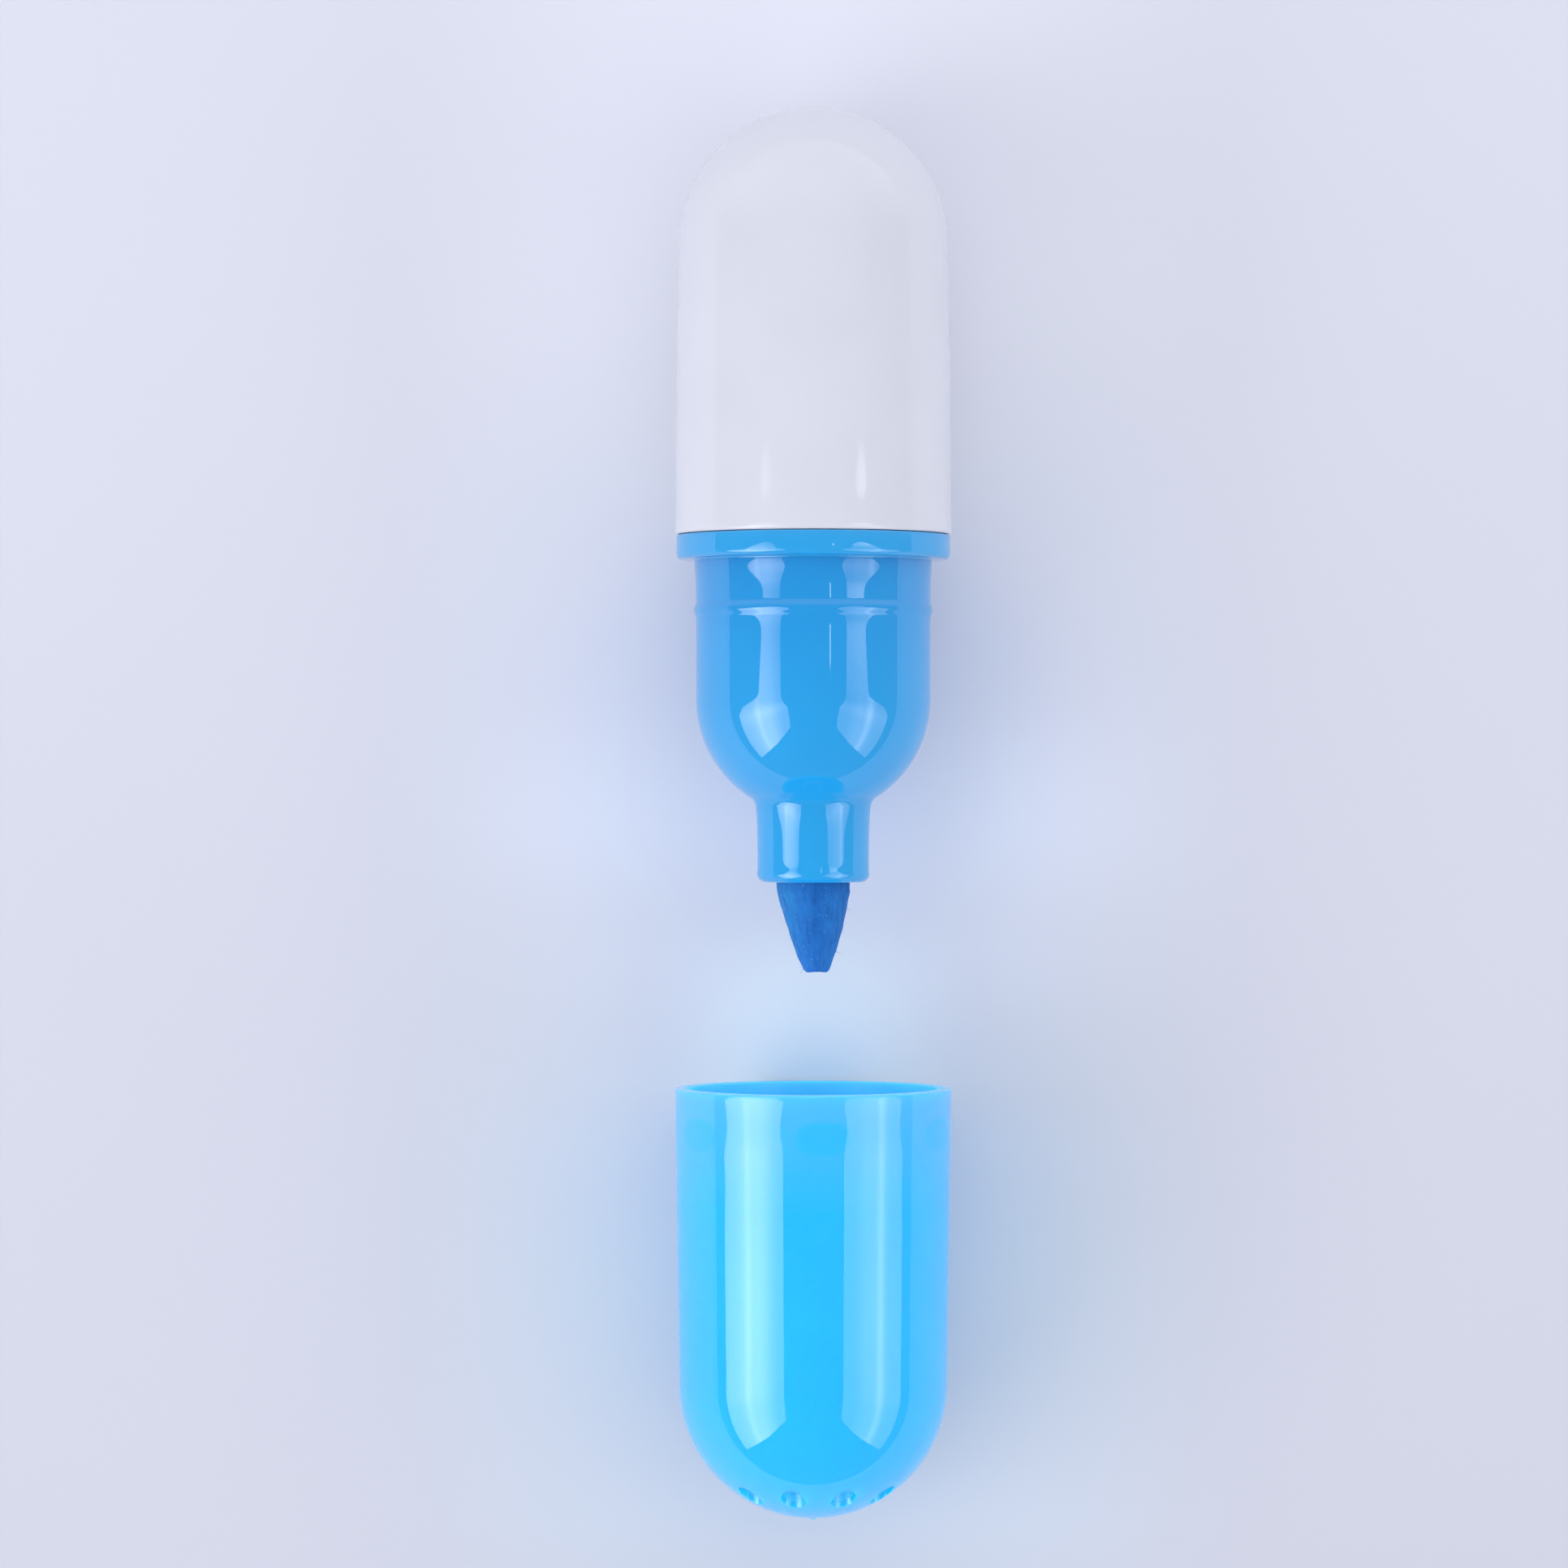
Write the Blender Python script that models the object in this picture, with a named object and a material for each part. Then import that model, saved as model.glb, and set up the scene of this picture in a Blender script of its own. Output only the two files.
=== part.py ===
"""Small capsule-shaped felt-tip marker, lying on its side with its cap pulled off.

The barrel and the cap are two halves of a capsule. The pen's axis runs along Y:
the barrel's dome points to +Y, the nib to -Y, and the cap lies further along -Y
with its mouth facing the nib. Z is up and Z = 0 is the surface it lies on.
"""

import math

import bmesh
import bpy
from mathutils import Matrix, Vector

for old in list(bpy.data.objects):
    bpy.data.objects.remove(old, do_unlink=True)

MM = 0.001

# ---------------------------------------------------------------- dimensions, mm
SEGMENTS = 40  # facets round every turned piece; one facet faces straight down

MOUTH_R = 10.15  # outer radius of barrel and cap at their mouths
DOME_R = 9.77  # outer radius where their domes begin: the walls have about 1 deg of draft

BARREL_LENGTH = 31.15
BARREL_WALL = 1.2

FLANGE_R = 10.0
FLANGE_BACK = 1.8  # the barrel's mouth sits here, behind the flange's front face
SEAT_GAP = 0.1  # between the flange's back face and the barrel's mouth
SPIGOT_R = 8.65
SPIGOT_LENGTH = 6.0
NECK_R_BACK = 8.68
NECK_R_FRONT = 8.57
RIDGE_AT = 3.67  # from the flange's front face to the snap ridge
RIDGE_HALF = 0.5
RIDGE_R = 8.69
BODY_R = 8.55
SHOULDER_AT = 10.14  # centre of the round shoulder
SECTION_BORE_R = 7.30
NOZZLE_ROOT_R = 4.20
NOZZLE_END_R = 4.03
NOZZLE_END = 23.5
NOZZLE_FILLET = 0.9
NOZZLE_ROUND = 0.6
NIB_BORE_R = 2.80

NIB_R = 2.65
NIB_TIP = 30.05
NIB_TIP_R = 0.90
NIB_BACK = 8.3
NIB_LEAN = 0.25  # the tip sits this far to +X of the pen's axis

RESERVOIR_R = 6.8
RESERVOIR_FRONT = 11.2
RESERVOIR_BACK = 27.5  # behind the flange's front face
RESERVOIR_SOCKET_R = 2.9
RESERVOIR_SOCKET = 3.2
FILM_R = 7.1
FILM_WALL = 0.2

CAP_LENGTH = 31.3
CAP_MOUTH_BORE_R = 9.05
CAP_DOME_BORE_R = 8.68
CAP_DEPTH = 30.4
CAP_OFF = 38.5  # from the flange's front face to the cap's mouth
CAP_SHUT_GAP = 0.25  # left between mouth and flange when the cap is on
BUMP_COUNT = 6
BUMP_FIRST_DEG = 4.0
BUMP_AT = 3.4  # from the mouth
BUMP_WIDTH = 3.7
BUMP_HEIGHT = 2.3
BUMP_INNER_R = 8.78
SEAL_R_OUT = 4.80
SEAL_R_IN = 4.30
SEAL_MOUTH = 20.2
VENT_COUNT = 10
VENT_FIRST_DEG = 21.6
VENT_RING_R = 5.85
VENT_R = 0.90

# Where the flange's front face is, so that Y = 0 is half way along the whole lot.
FLANGE_Y = (CAP_OFF + CAP_LENGTH - FLANGE_BACK - BARREL_LENGTH) / 2
# Height of the axis: the mouths rest on their lowest facets.
AXIS_Z = MOUTH_R * math.cos(math.pi / SEGMENTS)
CAP_TRAVEL = CAP_OFF - CAP_SHUT_GAP


# ---------------------------------------------------------------- helpers
def arc(cy, cr, radius, start_deg, end_deg, steps):
    """Points (y, r) on a circle about (cy, cr). 0 deg points along +Y, 90 deg away from the axis."""
    points = []
    for i in range(steps + 1):
        a = math.radians(start_deg + (end_deg - start_deg) * i / steps)
        points.append((cy + radius * math.cos(a), cr + radius * math.sin(a)))
    return points


def turned(name, profile, closed, material, move=None):
    """A solid of revolution about local Y from (y, r) points in mm. An open profile starts and ends on the axis."""
    bm = bmesh.new()
    start = math.radians(-90 + 180 / SEGMENTS)
    radial = Vector((math.cos(start), 0, math.sin(start)))
    verts = [
        bm.verts.new(radial * (max(r, 0.0) * MM) + Vector((0, y * MM, 0)))
        for y, r in profile
    ]
    edges = [bm.edges.new(pair) for pair in zip(verts, verts[1:])]
    if closed:
        edges.append(bm.edges.new((verts[-1], verts[0])))
    bmesh.ops.spin(
        bm,
        geom=verts + edges,
        cent=(0, 0, 0),
        axis=(0, 1, 0),
        angle=2 * math.pi,
        steps=SEGMENTS,
        use_merge=False,
        use_duplicate=False,
    )
    bmesh.ops.remove_doubles(bm, verts=bm.verts, dist=1e-6)
    bmesh.ops.recalc_face_normals(bm, faces=bm.faces)
    if move:
        for v in bm.verts:
            v.co += move(v.co)
    mesh = bpy.data.meshes.new(name)
    bm.to_mesh(mesh)
    bm.free()
    mesh.shade_smooth()
    mesh.set_sharp_from_angle(angle=math.radians(32))
    mesh.materials.append(material)
    made = bpy.data.objects.new(name, mesh)
    bpy.context.scene.collection.objects.link(made)
    return made


def plastic(name, colour, roughness, alpha=1.0, transmission=0.0):
    made = bpy.data.materials.new(name)
    made.use_nodes = True
    shader = made.node_tree.nodes["Principled BSDF"]
    shader.inputs["Base Color"].default_value = (*colour, 1.0)
    shader.inputs["Metallic"].default_value = 0.0
    shader.inputs["Roughness"].default_value = roughness
    shader.inputs["Alpha"].default_value = alpha
    shader.inputs["Transmission Weight"].default_value = transmission
    made.diffuse_color = (*colour, alpha)
    return made


def guide(name, bm):
    """A cutter or an added shape that only a Boolean uses."""
    mesh = bpy.data.meshes.new(name)
    bm.to_mesh(mesh)
    bm.free()
    made = bpy.data.objects.new(name, mesh)
    made.hide_render = True
    made.display_type = "WIRE"
    bpy.context.scene.collection.objects.link(made)
    return made


def round_the_axis(angle_deg, radius, y):
    """A point at this radius in mm. 0 deg is straight up and 90 deg is +X."""
    a = math.radians(angle_deg)
    return Vector((radius * math.sin(a), y, radius * math.cos(a))) * MM


white = plastic("barrel_white", (0.80, 0.81, 0.86), 0.32)
blue = plastic("section_blue", (0.030, 0.352, 0.831), 0.12)
cyan = plastic("cap_cyan", (0.030, 0.530, 0.985), 0.10, 0.75, 0.5)
felt = plastic("nib_felt", (0.016, 0.150, 0.520), 0.90)
fibre = plastic("reservoir_fibre", (0.050, 0.280, 0.700), 0.95)
clear = plastic("film_clear", (0.860, 0.900, 0.950), 0.10, 0.35, 0.8)

pen_frame = bpy.data.objects.new("pen_frame", None)
pen_frame.location = (0, FLANGE_Y * MM, AXIS_Z * MM)
cap_frame = bpy.data.objects.new("cap_slide_axis", None)
cap_frame.location = (0, (FLANGE_Y - CAP_OFF) * MM, AXIS_Z * MM)
for empty in (pen_frame, cap_frame):
    bpy.context.scene.collection.objects.link(empty)

# ---------------------------------------------------------------- barrel
# Closed dome at one end, thin walls with draft, open mouth on the flange.
dome_y = FLANGE_BACK + BARREL_LENGTH - DOME_R
inner_r = DOME_R - BARREL_WALL
barrel = turned(
    "barrel",
    arc(dome_y, 0, DOME_R, 0, 90, 9)
    + [(FLANGE_BACK + 0.15, MOUTH_R), (FLANGE_BACK, MOUTH_R - 0.15)]
    + [(FLANGE_BACK, MOUTH_R - BARREL_WALL + 0.15)]
    + [(FLANGE_BACK + 0.25, MOUTH_R - BARREL_WALL)]
    + arc(dome_y, 0, inner_r, 90, 0, 8),
    False,
    white,
)

# ---------------------------------------------------------------- front section
# One moulding: spigot, flange, neck with its snap ridge, round shoulder, nozzle and nib bore.
fillet_r = NOZZLE_ROOT_R + NOZZLE_FILLET
reach = math.sqrt((BODY_R + NOZZLE_FILLET) ** 2 - fillet_r**2)
tangent_deg = math.degrees(math.atan2(fillet_r, -reach))
fillet_y = -SHOULDER_AT - reach
spigot_end = FLANGE_BACK - SEAT_GAP + SPIGOT_LENGTH
bore_meets = math.degrees(
    math.atan2(NIB_BORE_R, -math.sqrt(SECTION_BORE_R**2 - NIB_BORE_R**2))
)
section_profile = (
    [(spigot_end, SECTION_BORE_R), (spigot_end, SPIGOT_R - 0.4)]
    + [(spigot_end - 0.6, SPIGOT_R), (FLANGE_BACK - SEAT_GAP, SPIGOT_R)]
    + arc(FLANGE_BACK - SEAT_GAP - 0.15, FLANGE_R - 0.15, 0.15, 0, 90, 1)
    + arc(0.35, FLANGE_R - 0.35, 0.35, 90, 180, 3)
    + [(0, NECK_R_BACK + 0.12), (-0.12, NECK_R_BACK)]
    + [(-RIDGE_AT + RIDGE_HALF, NECK_R_FRONT)]
    + [(-RIDGE_AT + 0.3 * RIDGE_HALF, RIDGE_R), (-RIDGE_AT - 0.3 * RIDGE_HALF, RIDGE_R)]
    + [(-RIDGE_AT - RIDGE_HALF, BODY_R)]
    + arc(-SHOULDER_AT, 0, BODY_R, 90, tangent_deg, 7)
    + arc(fillet_y, fillet_r, NOZZLE_FILLET, tangent_deg - 180, -90, 3)[1:]
    + arc(-NOZZLE_END + NOZZLE_ROUND, NOZZLE_END_R - NOZZLE_ROUND, NOZZLE_ROUND, 90, 180, 3)
    + [(-NOZZLE_END, NIB_BORE_R + 0.1), (-NOZZLE_END + 0.1, NIB_BORE_R)]
    + arc(-SHOULDER_AT, 0, SECTION_BORE_R, bore_meets, 90, 5)
)
front_section = turned("front_section", section_profile, True, blue)


# ---------------------------------------------------------------- nib
# A felt rod, seated in the reservoir's socket, with a tapered tip and a small flat end.
def nib_taper(t):
    """Radius share from the nozzle (t = 0) to the tip (t = 1): a slightly bulged cone."""
    return 1 - (1 - NIB_TIP_R / NIB_R) * (0.78 * t + 0.22 * t**3)


def lean(co):
    share = max(0.0, (-co.y / MM - NOZZLE_END) / (NIB_TIP - NOZZLE_END))
    return Vector((NIB_LEAN * share * MM, 0, 0))


taper_from = NOZZLE_END + 0.7
taper = [
    (-taper_from - (NIB_TIP - 0.12 - taper_from) * i / 6, NIB_R * nib_taper(i / 6))
    for i in range(7)
]
nib = turned(
    "nib",
    [(-NIB_BACK, 0), (-NIB_BACK, NIB_R - 0.5), (-NIB_BACK - 0.8, NIB_R)]
    + taper
    + [(-NIB_TIP, NIB_TIP_R - 0.14), (-NIB_TIP, 0)],
    False,
    felt,
    lean,
)

# ---------------------------------------------------------------- ink reservoir and its film
reservoir = turned(
    "ink_reservoir",
    [(RESERVOIR_BACK, 0), (RESERVOIR_BACK, RESERVOIR_R)]
    + [(-RESERVOIR_FRONT, RESERVOIR_R), (-RESERVOIR_FRONT, RESERVOIR_SOCKET_R)]
    + [(-RESERVOIR_FRONT + RESERVOIR_SOCKET, RESERVOIR_SOCKET_R)]
    + [(-RESERVOIR_FRONT + RESERVOIR_SOCKET, 0)],
    False,
    fibre,
)
film = turned(
    "reservoir_film",
    [(RESERVOIR_BACK - 0.3, FILM_R - FILM_WALL), (RESERVOIR_BACK - 0.3, FILM_R)]
    + [(-RESERVOIR_FRONT + 0.3, FILM_R), (-RESERVOIR_FRONT + 0.3, FILM_R - FILM_WALL)],
    True,
    clear,
)

# ---------------------------------------------------------------- cap
# Local Y = 0 is the mouth. A thin sleeve inside the dome seals round the nozzle.
outer_dome_y = -CAP_LENGTH + DOME_R
inner_dome_y = -CAP_DEPTH + CAP_DOME_BORE_R


def on_bore(r):
    """Angle in degrees of the point on the dome's inside at this radius."""
    return math.degrees(math.atan2(r, -math.sqrt(CAP_DOME_BORE_R**2 - r**2)))


cap = turned(
    "cap",
    arc(outer_dome_y, 0, DOME_R, 180, 90, 9)
    + [(-0.12, MOUTH_R), (0, MOUTH_R - 0.12)]
    + [(0, CAP_MOUTH_BORE_R + 0.12), (-0.12, CAP_MOUTH_BORE_R)]
    + arc(inner_dome_y, 0, CAP_DOME_BORE_R, 90, on_bore(SEAL_R_OUT), 5)
    + [(-SEAL_MOUTH - 0.15, SEAL_R_OUT), (-SEAL_MOUTH, SEAL_R_OUT - 0.15)]
    + [(-SEAL_MOUTH, SEAL_R_IN + 0.15), (-SEAL_MOUTH - 0.15, SEAL_R_IN)]
    + arc(inner_dome_y, 0, CAP_DOME_BORE_R, on_bore(SEAL_R_IN), 180, 3),
    False,
    cyan,
)

# Oval snap pads on the cap's inner wall, which grip the ridge.
bm = bmesh.new()
for i in range(BUMP_COUNT):
    angle = BUMP_FIRST_DEG + 360 / BUMP_COUNT * i
    centre_r = CAP_MOUTH_BORE_R + 0.25
    place = Matrix.Translation(round_the_axis(angle, centre_r, -BUMP_AT))
    turn = Matrix.Rotation(math.radians(angle), 4, "Y")
    depth = centre_r - BUMP_INNER_R
    swell = 1.25  # the pad's outline is where the oval meets the wall, inside its full width
    size = Matrix.Diagonal(
        (BUMP_WIDTH / 2 * swell * MM, BUMP_HEIGHT / 2 * swell * MM, depth * MM, 1)
    )
    bmesh.ops.create_uvsphere(
        bm, u_segments=14, v_segments=8, radius=1.0, matrix=place @ turn @ size
    )
pads = guide("cap_pad_shapes", bm)

# Air vents, drawn straight along the axis through the dome.
bm = bmesh.new()
for i in range(VENT_COUNT):
    angle = VENT_FIRST_DEG + 360 / VENT_COUNT * i
    place = Matrix.Translation(round_the_axis(angle, VENT_RING_R, -29.2))
    lay_down = Matrix.Rotation(math.radians(90), 4, "X")
    bmesh.ops.create_cone(
        bm,
        cap_ends=True,
        segments=12,
        radius1=VENT_R * MM,
        radius2=VENT_R * MM,
        depth=5.4 * MM,
        matrix=place @ lay_down,
    )
vents = guide("cap_vent_cutters", bm)

add = cap.modifiers.new("snap_pads", "BOOLEAN")
add.operation = "UNION"
add.object = pads
cut = cap.modifiers.new("vents", "BOOLEAN")
cut.operation = "DIFFERENCE"
cut.object = vents

for piece in (barrel, front_section, nib, reservoir, film):
    piece.parent = pen_frame
for piece in (cap, pads, vents):
    piece.parent = cap_frame
bpy.context.view_layer.update()
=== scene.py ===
import math
import random

import bmesh
import bpy
from mathutils import Matrix, Vector


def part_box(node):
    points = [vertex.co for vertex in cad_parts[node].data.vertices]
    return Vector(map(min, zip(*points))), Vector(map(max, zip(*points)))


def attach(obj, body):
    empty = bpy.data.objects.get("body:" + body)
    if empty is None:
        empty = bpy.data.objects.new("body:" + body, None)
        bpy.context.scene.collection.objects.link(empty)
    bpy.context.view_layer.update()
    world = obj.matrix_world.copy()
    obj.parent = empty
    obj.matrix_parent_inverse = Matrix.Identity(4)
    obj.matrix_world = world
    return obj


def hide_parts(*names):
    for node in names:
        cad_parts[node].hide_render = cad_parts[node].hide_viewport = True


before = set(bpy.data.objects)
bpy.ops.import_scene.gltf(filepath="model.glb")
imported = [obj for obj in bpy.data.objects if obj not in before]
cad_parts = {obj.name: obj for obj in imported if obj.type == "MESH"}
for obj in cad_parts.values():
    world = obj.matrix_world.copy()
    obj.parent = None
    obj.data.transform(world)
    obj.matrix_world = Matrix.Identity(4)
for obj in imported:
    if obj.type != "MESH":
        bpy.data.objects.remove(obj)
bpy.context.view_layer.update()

MM = 0.001

# ------------------------------------------------------------------ places, read from the frame
barrel_lo, barrel_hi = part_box("barrel")
section_lo, section_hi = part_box("front_section")
cap_lo, cap_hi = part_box("cap")
nib_lo, nib_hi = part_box("nib")
res_lo, res_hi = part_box("ink_reservoir")
film_lo, film_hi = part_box("reservoir_film")

AXIS_Z = (barrel_lo.z + barrel_hi.z) / 2
MOUTH_R = (barrel_hi.z - barrel_lo.z) / 2 / MM - 0.005  # rests on the floor
FLANGE_BACK = 1.8
FLANGE_Y = barrel_lo.y / MM - FLANGE_BACK  # front face of the flange, mm
BARREL_LEN = (barrel_hi.y - barrel_lo.y) / MM
CAP_MOUTH_Y = cap_hi.y / MM
CAP_LEN = (cap_hi.y - cap_lo.y) / MM
NOZZLE_END = FLANGE_Y - section_lo.y / MM
NIB_TIP = FLANGE_Y - nib_lo.y / MM
DOME_R = 9.77
BUMP_AT, BUMP_W, BUMP_H, BUMP_UP = 3.1, 3.7, 2.3, 0.24  # the pads in the cap's mouth
BUMP_FIRST = 4.0  # degrees


# ------------------------------------------------------------------ mesh helpers
def arc(cy, cr, radius, start_deg, end_deg, steps):
    """Points (y, r) round (cy, cr): 0 deg points along +Y, 90 deg away from the axis."""
    out = []
    for i in range(steps + 1):
        a = math.radians(start_deg + (end_deg - start_deg) * i / steps)
        out.append((cy + radius * math.cos(a), cr + radius * math.sin(a)))
    return out


def line(p, q, steps, ends=True):
    """Points from p to q."""
    first = 0 if ends else 1
    return [
        (p[0] + (q[0] - p[0]) * i / steps, p[1] + (q[1] - p[1]) * i / steps)
        for i in range(first, steps + (1 if ends else 0))
    ]


def lathe(name, profile, closed, around, base_y, shift=None, sharp=40.0):
    """A turned mesh about the pen's axis. shift(angle, y, r) may give back another (y, r, dx, dz)."""
    bm = bmesh.new()
    rings = []
    for y, r in profile:
        if r < 1e-6:
            rings.append([bm.verts.new((0, (base_y + y) * MM, AXIS_Z))])
            continue
        ring = []
        for k in range(around):
            a = 2 * math.pi * k / around
            yy, rr, dx, dz = (y, r, 0.0, 0.0) if shift is None else shift(a, y, r)
            ring.append(
                bm.verts.new(
                    (
                        (rr * math.sin(a) + dx) * MM,
                        (base_y + yy) * MM,
                        AXIS_Z + (rr * math.cos(a) + dz) * MM,
                    )
                )
            )
        rings.append(ring)
    pairs = list(zip(rings, rings[1:]))
    if closed:
        pairs.append((rings[-1], rings[0]))
    for a, b in pairs:
        if len(a) == 1 and len(b) == 1:
            continue
        for k in range(around):
            n = (k + 1) % around
            if len(a) == 1:
                bm.faces.new((a[0], b[k], b[n]))
            elif len(b) == 1:
                bm.faces.new((a[k], b[0], a[n]))
            else:
                bm.faces.new((a[k], b[k], b[n], a[n]))
    bmesh.ops.recalc_face_normals(bm, faces=bm.faces)
    mesh = bpy.data.meshes.new(name)
    bm.to_mesh(mesh)
    bm.free()
    mesh.shade_smooth()
    mesh.set_sharp_from_angle(angle=math.radians(sharp))
    obj = bpy.data.objects.new(name, mesh)
    bpy.context.scene.collection.objects.link(obj)
    return obj


def smooth(t):
    t = max(0.0, min(1.0, t))
    return t * t * (3 - 2 * t)


# ------------------------------------------------------------------ material helpers
class Tree:
    """Short hand for a node tree."""

    def __init__(self, name):
        self.mat = bpy.data.materials.new(name)
        self.mat.use_nodes = True
        self.nt = self.mat.node_tree
        self.shader = self.nt.nodes["Principled BSDF"]
        self.out = self.nt.nodes["Material Output"]

    def node(self, kind, **values):
        n = self.nt.nodes.new(kind)
        for k, v in values.items():
            if k in n.inputs:
                n.inputs[k].default_value = v
            else:
                setattr(n, k, v)
        return n

    def link(self, a, b):
        self.nt.links.new(a, b)

    def coords(self, scale=(1, 1, 1)):
        tc = self.node("ShaderNodeTexCoord")
        mp = self.node("ShaderNodeMapping")
        mp.inputs["Scale"].default_value = scale
        self.link(tc.outputs["Object"], mp.inputs["Vector"])
        return mp.outputs["Vector"]

    def noise(self, vector, scale, detail=3.0, rough=0.5):
        n = self.node("ShaderNodeTexNoise")
        n.inputs["Scale"].default_value = scale
        n.inputs["Detail"].default_value = detail
        n.inputs["Roughness"].default_value = rough
        self.link(vector, n.inputs["Vector"])
        return n.outputs["Fac"]

    def ramp(self, fac, stops):
        n = self.node("ShaderNodeValToRGB")
        n.color_ramp.interpolation = "EASE"
        while len(n.color_ramp.elements) < len(stops):
            n.color_ramp.elements.new(0.5)
        for e, (pos, colour) in zip(n.color_ramp.elements, stops):
            e.position = pos
            e.color = (*colour, 1.0)
        self.link(fac, n.inputs["Fac"])
        return n.outputs["Color"]

    def range(self, fac, low, high, lo_in=0.0, hi_in=1.0):
        n = self.node("ShaderNodeMapRange")
        n.inputs["From Min"].default_value = lo_in
        n.inputs["From Max"].default_value = hi_in
        n.inputs["To Min"].default_value = low
        n.inputs["To Max"].default_value = high
        self.link(fac, n.inputs["Value"])
        return n.outputs["Result"]

    def math(self, op, a, b=None):
        n = self.node("ShaderNodeMath", operation=op)
        for socket, value in zip(n.inputs, (a, b)):
            if isinstance(value, (int, float)):
                socket.default_value = value
            elif value is not None:
                self.link(value, socket)
        return n.outputs[0]

    def along_y(self, vector, start_mm, end_mm):
        """0 at start and 1 at end, along the pen."""
        sep = self.node("ShaderNodeSeparateXYZ")
        self.link(vector, sep.inputs[0])
        return self.range(sep.outputs["Y"], 0.0, 1.0, start_mm * MM, end_mm * MM)

    def blend(self, fac, a, b):
        n = self.node("ShaderNodeMix", data_type="RGBA", blend_type="MIX")
        self.link(fac, n.inputs["Factor"])
        for value, where in ((a, "A"), (b, "B")):
            if isinstance(value, tuple):
                n.inputs[where].default_value = (*value, 1.0)
            else:
                self.link(value, n.inputs[where])
        return n.outputs["Result"]

    def bump(self, height, strength, distance):
        n = self.node("ShaderNodeBump")
        n.inputs["Strength"].default_value = strength
        n.inputs["Distance"].default_value = distance
        self.link(height, n.inputs["Height"])
        self.link(n.outputs["Normal"], self.shader.inputs["Normal"])
        return n

    def set(self, **values):
        for k, v in values.items():
            self.shader.inputs[k.replace("_", " ")].default_value = v


def near(colour, by):
    return tuple(max(0.0, min(1.0, c * by)) for c in colour)


def barrel_material():
    t = Tree("white_moulded_plastic")
    v = t.coords()
    cloud = t.noise(v, 160.0, 3.0)
    colour = t.ramp(cloud, [(0.30, (0.606, 0.608, 0.652)), (0.70, (0.620, 0.622, 0.666))])
    t.link(colour, t.shader.inputs["Base Color"])
    t.link(t.range(cloud, 0.045, 0.065, 0.3, 0.7), t.shader.inputs["Roughness"])
    t.set(IOR=1.52, Specular_IOR_Level=0.65, Subsurface_Weight=0.15, Subsurface_Scale=0.0010)
    t.shader.inputs["Subsurface Radius"].default_value = (1.0, 1.0, 1.0)
    return t.mat


def section_material():
    t = Tree("blue_gloss_plastic")
    v = t.coords()
    cloud = t.noise(v, 120.0, 4.0)
    grain = t.noise(v, 1500.0, 2.0)
    # Painted shade and light: the blue is darker at the neck by the flange, lighter towards the dome and nozzle, and
    # lighter again on the flange rim.
    low = t.ramp(cloud, [(0.30, (0.0125, 0.260, 0.604)), (0.70, (0.0150, 0.274, 0.624))])
    front = t.ramp(cloud, [(0.30, (0.0155, 0.320, 0.676)), (0.70, (0.0185, 0.336, 0.696))])
    flange = t.ramp(cloud, [(0.30, (0.020, 0.310, 0.650)), (0.70, (0.023, 0.323, 0.670))])
    along = t.along_y(v, FLANGE_Y - 0.5, FLANGE_Y - 17.0)
    body = t.blend(along, low, front)
    edge = t.along_y(v, FLANGE_Y - 0.25, FLANGE_Y + 0.15)
    t.link(t.blend(edge, body, flange), t.shader.inputs["Base Color"])
    t.link(t.range(grain, 0.022, 0.038, 0.3, 0.7), t.shader.inputs["Roughness"])
    t.bump(cloud, 0.05, 0.00003)
    t.set(IOR=1.60, Specular_IOR_Level=0.75)
    return t.mat


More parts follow.
